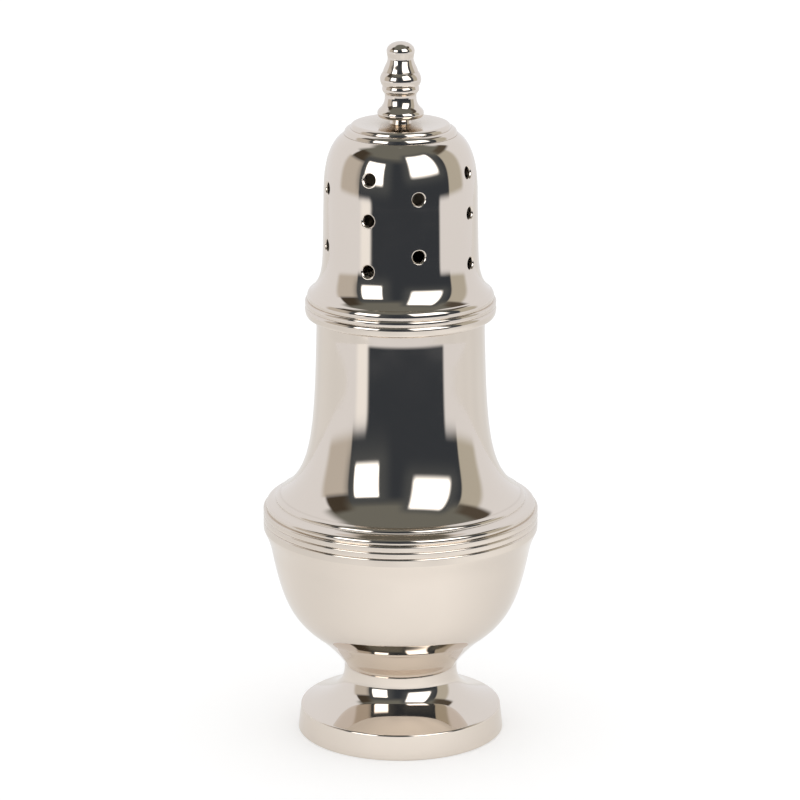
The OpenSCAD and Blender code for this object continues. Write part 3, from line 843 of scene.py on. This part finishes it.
def finial_outline(shape):
    """Button, throat, pear, two beads, waist, flange and neck, then the stud down to its end."""
    flange_low = np.array([FLANGE_R - shape.flange_swell + shape.flange_lean, CROWN_Z + shape.seat_h])
    flange_top = flange_low + [-2 * shape.flange_lean, shape.flange_h]
    small_low = np.array([shape.waist_r + shape.small_swell / 4, flange_top[1] + shape.waist_h])
    waist = (shape.waist_r, small_low[1] - shape.small_h / 3)
    small_top = (shape.small_r, small_low[1] + shape.small_h)
    gap = (shape.gap_r, small_top[1])
    pear_low = (shape.pear_r, gap[1] + shape.bead_h)
    throat = (shape.throat_r, pear_low[1] + shape.pear_h)
    button_low = (shape.button_r, throat[1] + shape.throat_h)
    lift = np.linspace(np.pi / 2, 0, BUTTON_STEPS)
    button = np.stack([shape.button_r * np.cos(lift), button_low[1] + shape.button_h * np.sin(lift)], 1)
    outside = chain(button, sweep(button_low, throat, shape.button),
                    sweep(throat, pear_low, shape.pear),
                    reed(pear_low, gap, shape.bead_r - (shape.pear_r + shape.gap_r) / 2),
                    reed(small_top, small_low, shape.small_swell),
                    sweep(small_low, waist, shape.upper_waist),
                    sweep(waist, flange_top, shape.lower_waist),
                    reed(flange_top, flange_low, shape.flange_swell),
                    [(shape.neck_r, CROWN_Z + shape.neck_h), (shape.seat_r, CROWN_Z)],
                    [(shape.stud_r, CROWN_Z), (shape.stud_r, STUD_LOW_Z), (0, STUD_LOW_Z)])
    return marked(outside, 0), [small_top, pear_low, small_low, (shape.seat_r, CROWN_Z)]


def hole_places(shape):
    """Angles and heights of the sprinkle holes: tall and short columns by turns, drilled by eye."""
    column = np.arange(shape.columns)
    angle = shape.turn + column * 2 * np.pi / shape.columns + np.resize(DRIFT, shape.columns)
    tall, short = angle[0::2], angle[1::2]
    angles = np.concatenate([np.repeat(tall, len(TALL_COLUMN)), np.repeat(short, len(SHORT_COLUMN))])
    shares = np.concatenate([np.tile(TALL_COLUMN, len(tall)), np.tile(SHORT_COLUMN, len(short))])
    return angles, COLLAR_TOP_Z + (LAND_Z - COLLAR_TOP_Z) * shares


def window_ring(size):
    """Steps down and across of the points round a square window of quads, clockwise from its first."""
    side = np.arange(size)
    down = np.concatenate([0 * side, side, 0 * side + size, size - side])
    across = np.concatenate([side, 0 * side + size, size - side, 0 * side])
    return down, across


def hole_windows(rows, face, angles, heights):
    """A square window of quads round each hole, centred on the nearest of a face's rows and turns.

    Returns the numbers of the points round each window, and the rows and turns of its quads.
    """
    middle = face[np.abs(rows[face, 1] - heights[:, None]).argmin(1)]
    row = (middle - HOLE_WINDOW // 2)[:, None]
    turn = (np.round(angles / (2 * np.pi) * DOME_TURNS).astype(int) - HOLE_WINDOW // 2)[:, None]
    down, across = window_ring(HOLE_WINDOW)
    edge = (row + down) * DOME_TURNS + (turn + across) % DOME_TURNS
    cell = np.arange(HOLE_WINDOW)
    return edge, (row + cell)[:, :, None], ((turn + cell) % DOME_TURNS)[:, None]


def hole_rings(from_edge, around, shape, is_inner):
    """Rings from each window's edge in to its hole, as steps across and up, and each ring's depth.

    A point slides straight from the edge to the hole's lip, in steps that shrink by a power of the way
    left. On the outer face more rings then turn into the bore over a soft countersink, whose width and
    depth follow sin and cos to a power.
    """
    slide_power, lip_power = 1.5, 1.6
    circle = np.stack([np.cos(around), np.sin(around)], -1)
    hole_r = shape.hole_d / 2
    lip_r = hole_r if is_inner else hole_r + shape.hole_edge
    count = INNER_RINGS if is_inner else OUTER_RINGS
    slide = 1 - (1 - np.linspace(0, 1, count + 1)[1:, None, None]) ** slide_power
    flat = from_edge[:, None] * (1 - slide) + lip_r * circle * slide
    if is_inner:
        return flat, np.zeros(count)
    turn = np.linspace(0, np.pi / 2, LIP_RINGS + 1)[1:]
    narrowing = hole_r + shape.hole_edge * (1 - np.sin(turn) ** lip_power)
    curl = narrowing[:, None, None] * circle
    flat = np.concatenate([flat, np.broadcast_to(curl, (len(flat), *curl.shape))], 1)
    sinking = shape.hole_edge * (1 - np.abs(np.cos(turn)) ** lip_power)
    return flat, np.concatenate([np.zeros(count), sinking])


def pierced(name, path, grooves, shape):
    """A turned shell pierced by round holes.

    Round each hole a square window of quads is left out of the outer and of the inner face, and rings
    lead from the window's edge in to the hole. Their points are worked out in the plane that faces the
    hole and put back on the turned surface, at distance sqrt(r(z)^2 - offset^2) from the axis. The bore
    joins the last ring of the outer face to that of the inner one.
    """
    wall_share, bore_share = 0.8, 0.9
    rows, fine = worn(path, True, bpy.context.scene.caster.finish.wear, DOME_ROW_STEP)
    angles, heights = hole_places(shape)
    grid = rings(rows, DOME_TURNS).reshape(-1, 3)
    faces = quads(np.append(np.arange(len(rows)), 0), DOME_TURNS)
    kept = np.ones(faces.shape[:2], bool)
    points, inside, blocks, ends = [grid], [np.repeat(rows[:, 2], DOME_TURNS)], [], []
    facing = np.stack([np.sin(angles), -np.cos(angles), 0 * angles], 1)[:, None, None]
    aside = np.stack([np.cos(angles), np.sin(angles), 0 * angles], 1)[:, None, None]
    count = 4 * HOLE_WINDOW
    step = np.arange(count) * 2 * np.pi / count
    total = len(grid)
    for is_inner, corner, sense in ((False, 3 * np.pi / 4, -1), (True, 5 * np.pi / 4, 1)):
        on_face, sheet_face = [((loop[:, 2] > 0.5) == is_inner) & (loop[:, 0] > wall_share * shape.radius)
                               for loop in (rows, fine)]
        edge, window_rows, window_turns = hole_windows(rows, np.flatnonzero(on_face), angles, heights)
        kept[window_rows, window_turns] = False
        from_edge = np.stack([np.einsum("hcx,hx->hc", grid[edge], aside[:, 0, 0]),
                              grid[edge][:, :, 2] - heights[:, None]], -1)
        flat, sunk = hole_rings(from_edge, corner + sense * step, shape, is_inner)
        sheet = fine[sheet_face]
        sheet = sheet[np.argsort(sheet[:, 1])]
        z = heights[:, None, None] + flat[..., 1]
        out = np.sqrt(np.interp(z, sheet[:, 1], sheet[:, 0]) ** 2 - flat[..., 0] ** 2) - sunk[:, None]
        spot = facing * out[..., None] + aside * flat[..., 0, None]
        spot[..., 2] = z
        points.append(spot.reshape(-1, 3))
        in_bore = (sunk > bore_share * shape.hole_edge) | is_inner
        inside.append(np.broadcast_to(in_bore[:, None], z.shape).astype(float).ravel())
        walk = np.concatenate([edge[:, None], total + np.arange(z.size).reshape(z.shape)], 1)
        total += z.size
        blocks.append(strip(walk[:, :-1], walk[:, 1:]).reshape(-1, 4))
        ends.append(walk[:, -1])
    partner = ends[1][:, (-HOLE_WINDOW - np.arange(count)) % count]
    bore = strip(ends[0], partner).reshape(-1, 4)
    faces = np.concatenate([faces[kept], *blocks, bore]).tolist()
    return surface(name, np.concatenate(points), faces, np.concatenate(inside), grooves)


def hexagon_nut(name, bore_r, low_z, high_z, corner_r, face_share):
    """A chamfered nut: the hexagon's radius at each angle, with ends cut by a cone of 30 degrees."""
    half_side, cone, crease = np.pi / 6, np.radians(30), np.radians(20)
    flat_r = corner_r * np.cos(half_side)
    face_r = face_share * flat_r
    angle = np.linspace(0, 2 * np.pi, NUT_TURNS, endpoint=False)
    from_flat = (angle + 2 * half_side) % (2 * half_side) - half_side
    side = flat_r / np.cos(from_flat)
    drop = (side - face_r) * np.tan(cone)
    even = np.ones(NUT_TURNS)
    radius = np.stack([bore_r * even, face_r * even, side, side, face_r * even, bore_r * even])
    height = np.stack([high_z * even, high_z * even, high_z - drop,
                       low_z + drop, low_z * even, low_z * even])
    points = np.stack([radius * np.cos(angle), radius * np.sin(angle), height], -1).reshape(-1, 3)
    faces = quads(np.append(np.arange(len(radius)), 0), NUT_TURNS).reshape(-1, 4).tolist()
    nut = surface(name, points, faces, np.zeros(len(points)), [(bore_r, high_z), (bore_r, low_z)])
    nut.data.set_sharp_from_angle(angle=crease)
    return nut


# Operators

class CASTER_OT_foot(Operator):
    """Spun foot, the wire inside its rim and the ring that centres it"""
    bl_idname = "caster.foot"
    bl_label = "Foot"

    def execute(self, context):
        shape = context.scene.caster.foot
        foot = turned("spun_foot", foot_outline(shape), [(STEM_R, SEAM_Z)])
        place(foot, "foot", "polished_plate")
        wire_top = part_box("foot_wire")[1].z
        path = block(RIM_BORE_R - shape.wire_w, RIM_BORE_R, 0, wire_top)
        place(turned("rim_wire", path, [(RIM_BORE_R, wire_top)]), "foot_wire", "polished_plate")
        low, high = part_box("stem_spigot")
        path = block(STEM_BORE_R - shape.spigot_w, STEM_BORE_R, low.z, high.z)
        place(turned("centring_ring", path, [(STEM_BORE_R, low.z)]), "stem_spigot", "bare_brass")
        return {"FINISHED"}


class CASTER_OT_bowl(Operator):
    """Spun bowl with its band, soft step, belly and trumpet"""
    bl_idname = "caster.bowl"
    bl_label = "Bowl"

    def execute(self, context):
        caster = context.scene.caster
        depth = caster.girdle.reed_depth
        grooves = [(GIRDLE_R - depth, RIM_Z), (STEM_R, SEAM_Z)]
        bowl = turned("spun_bowl", bowl_outline(caster.bowl, depth), grooves, closed=False)
        place(bowl, "bowl", "polished_plate")
        return {"FINISHED"}


class CASTER_OT_girdle(Operator):
    """Reeded girdle between bowl and shoulder"""
    bl_idname = "caster.girdle"
    bl_label = "Girdle"

    def execute(self, context):
        caster = context.scene.caster
        groove_r = GIRDLE_R - caster.girdle.reed_depth
        grooves = [(groove_r, RIM_Z), (groove_r, (RIM_Z + GIRDLE_Z) / 2), (groove_r, GIRDLE_Z)]
        girdle = turned("reeded_girdle", girdle_outline(caster.girdle, caster.neck.lip_back), grooves)
        place(girdle, "girdle_ring", "polished_plate")
        return {"FINISHED"}


class CASTER_OT_neck(Operator):
    """Spun shoulder and neck with a fine reed and a rounded lip"""
    bl_idname = "caster.neck"
    bl_label = "Neck"

    def execute(self, context):
        caster = context.scene.caster
        shape, depth = caster.neck, caster.girdle.reed_depth
        lip_top = np.array([GIRDLE_R - shape.lip_w, GIRDLE_Z + shape.lip_h])
        grooves = [(GIRDLE_R - depth - shape.lip_back, GIRDLE_Z), lip_top,
                   lip_top + [-shape.fine_w, shape.fine_h]]
        neck = turned("spun_neck", neck_outline(shape, depth), grooves)
        place(neck, "shoulder_and_neck", "polished_plate")
        return {"FINISHED"}


class CASTER_OT_dome(Operator):
    """Spun dome with its flared lip and sprinkle holes"""
    bl_idname = "caster.dome"
    bl_label = "Dome"

    def execute(self, context):
        caster = context.scene.caster
        groove_r = neck_radius(caster) + caster.collar.proud - caster.collar.reed_depth
        stud_hole_r = caster.finial.stud_r + caster.finial.stud_gap
        path = dome_outline(caster.cap, groove_r, stud_hole_r)
        grooves = [(groove_r, COLLAR_TOP_Z), (CROWN_R, LAND_Z)]
        place(pierced("pierced_dome", path, grooves, caster.cap), "cap_dome", "polished_plate")
        return {"FINISHED"}


class CASTER_OT_collar(Operator):
    """Reeded collar under the dome and the sleeve that plugs into the mouth"""
    bl_idname = "caster.collar"
    bl_label = "Collar"

    def execute(self, context):
        caster = context.scene.caster
        path, grooves = collar_outline(caster.collar, neck_radius(caster))
        place(turned("reeded_collar", path, grooves), "cap_collar", "polished_plate")
        path = block(SLEEVE_R - caster.collar.sleeve_wall, SLEEVE_R, SLEEVE_LOW_Z, COLLAR_TOP_Z)
        place(turned("drawn_sleeve", path, [(SLEEVE_R, MOUTH_Z)]), "cap_sleeve", "satin_plate")
        return {"FINISHED"}


class CASTER_OT_crown(Operator):
    """Turned crown plate with two beads"""
    bl_idname = "caster.crown"
    bl_label = "Crown plate"

    def execute(self, context):
        caster = context.scene.caster
        path, grooves = crown_outline(caster.crown, caster.finial.stud_r + caster.finial.stud_gap)
        place(turned("turned_crown", path, grooves), "crown_plate", "polished_plate")
        return {"FINISHED"}


class CASTER_OT_finial(Operator):
    """Turned finial, and the washer and nut that hold it"""
    bl_idname = "caster.finial"
    bl_label = "Finial"

    def execute(self, context):
        shape = context.scene.caster.finial
        path, grooves = finial_outline(shape)
        place(turned("turned_finial", path, grooves, closed=False), "finial", "polished_plate")
        low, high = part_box("finial_washer")
        path = block(shape.stud_r + shape.stud_gap, high.x, low.z, high.z)
        place(turned("stud_washer", path, [(high.x, high.z)]), "finial_washer", "bare_brass")
        low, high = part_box("finial_nut")
        bore_r = shape.stud_r + shape.thread_gap
        nut = hexagon_nut("stud_nut", bore_r, low.z, high.z, high.x, shape.nut_face)
        place(nut, "finial_nut", "bare_brass")
        return {"FINISHED"}


class CASTER_OT_stage(Operator):
    """Camera, paper floor and studio world"""
    bl_idname = "caster.stage"
    bl_label = "Stage"

    def execute(self, context):
        scene = context.scene
        stage = scene.caster.stage
        camera = bpy.data.objects.new("camera", bpy.data.cameras.new("camera"))
        camera.data.sensor_width = SENSOR_MM
        camera.data.lens = stage.lens
        camera.location = stage.eye
        camera.rotation_euler = (np.pi / 2 - stage.tilt, 0, 0)
        scene.collection.objects.link(camera)
        scene.camera = camera
        side = stage.floor_w / 2
        turn = np.linspace(np.pi, 2 * np.pi, FLOOR_EDGE_POINTS)
        front = np.stack([side * np.cos(turn), stage.floor_front * np.sin(turn), 0 * turn], 1)
        back = [(side, stage.floor_back, 0), (-side, stage.floor_back, 0)]
        sheet = bpy.data.meshes.new("paper_floor")
        sheet.from_pydata(front.tolist() + back, [], [list(range(len(front) + 2))])
        sheet.materials.append(white_paper())
        floor = bpy.data.objects.new("paper_floor", sheet)
        scene.collection.objects.link(floor)
        scene.world = studio_world()
        scene.view_settings.view_transform = "Standard"
        return {"FINISHED"}


PIECES = (CASTER_OT_foot, CASTER_OT_bowl, CASTER_OT_girdle, CASTER_OT_neck, CASTER_OT_dome,
          CASTER_OT_collar, CASTER_OT_crown, CASTER_OT_finial, CASTER_OT_stage)
GROUPS = ("foot", "bowl", "girdle", "neck", "cap", "collar", "crown", "finial", "finish", "stage")


class CASTER_PT_sidebar(Panel):
    """Sizes and finish of the caster, and a button for each of its pieces"""
    bl_idname = "CASTER_PT_sidebar"
    bl_label = "Sugar Caster"
    bl_space_type = "VIEW_3D"
    bl_region_type = "UI"
    bl_category = "Caster"

    def draw(self, context):
        for operator in PIECES:
            self.layout.operator(operator.bl_idname)
        for name in GROUPS:
            group = getattr(context.scene.caster, name)
            box = self.layout.box()
            box.label(text=name.capitalize())
            for key in group.__annotations__:
                box.prop(group, key)


CLASSES = (CasterFoot, CasterBowl, CasterGirdle, CasterNeck, CasterCap, CasterCollar, CasterCrown,
           CasterFinial, CasterFinish, CasterStage, CasterSettings, *PIECES, CASTER_PT_sidebar)


def register():
    """Register the classes and give the scene its settings."""
    for cls in CLASSES:
        bpy.utils.register_class(cls)
    bpy.types.Scene.caster = PointerProperty(type=CasterSettings)


def unregister():
    """Take the settings and the classes away again."""
    del bpy.types.Scene.caster
    for cls in reversed(CLASSES):
        bpy.utils.unregister_class(cls)


def main():
    register()
    bpy.ops.caster.foot()
    bpy.ops.caster.bowl()
    bpy.ops.caster.girdle()
    bpy.ops.caster.neck()
    bpy.ops.caster.dome()
    bpy.ops.caster.collar()
    bpy.ops.caster.crown()
    bpy.ops.caster.finial()
    bpy.ops.caster.stage()


if __name__ == "__main__":
    main()
